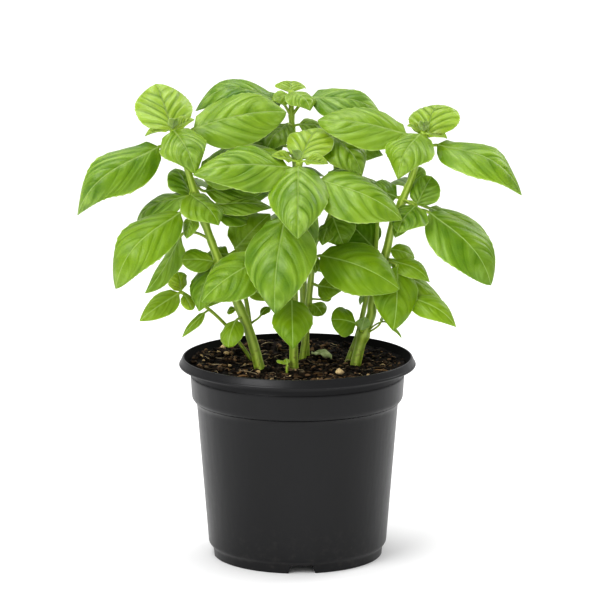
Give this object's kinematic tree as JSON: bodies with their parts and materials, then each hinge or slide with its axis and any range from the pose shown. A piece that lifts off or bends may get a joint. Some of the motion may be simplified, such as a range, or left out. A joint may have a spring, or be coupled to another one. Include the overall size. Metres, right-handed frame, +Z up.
{
  "type": "potted basil plant",
  "caption": "Bushy sweet basil with broad glossy leaves on upright stems, growing in a round black plastic nursery pot filled with soil.",
  "frame": {"origin": "on the pot's axis, in the plane of the foot that it stands on", "axes": "+Z up along the pot's axis; the plant's broad face is towards -Y, and +X is to its right as seen from the front"},
  "size_m": [0.2408, 0.1306, 0.2612],
  "materials": {
    "pot": "satin moulded polypropylene",
    "soil": "loose moist peat with bark and grit",
    "foliage": "fresh satin leaf",
    "young_growth": "fresh satin leaf",
    "withered_leaf": "dry matt leaf"
  },
  "bodies": {
    "root": {"pot": "pot", "soil": "soil", "stem_left": "foliage", "stem_left_low": "foliage", "stem_centre_front": "foliage", "stem_centre_right": "foliage", "stem_centre_back": "foliage", "stem_right": "foliage", "stem_right_second": "foliage", "seedling": "young_growth", "fallen_leaf": "withered_leaf"}
  },
  "joints": []
}
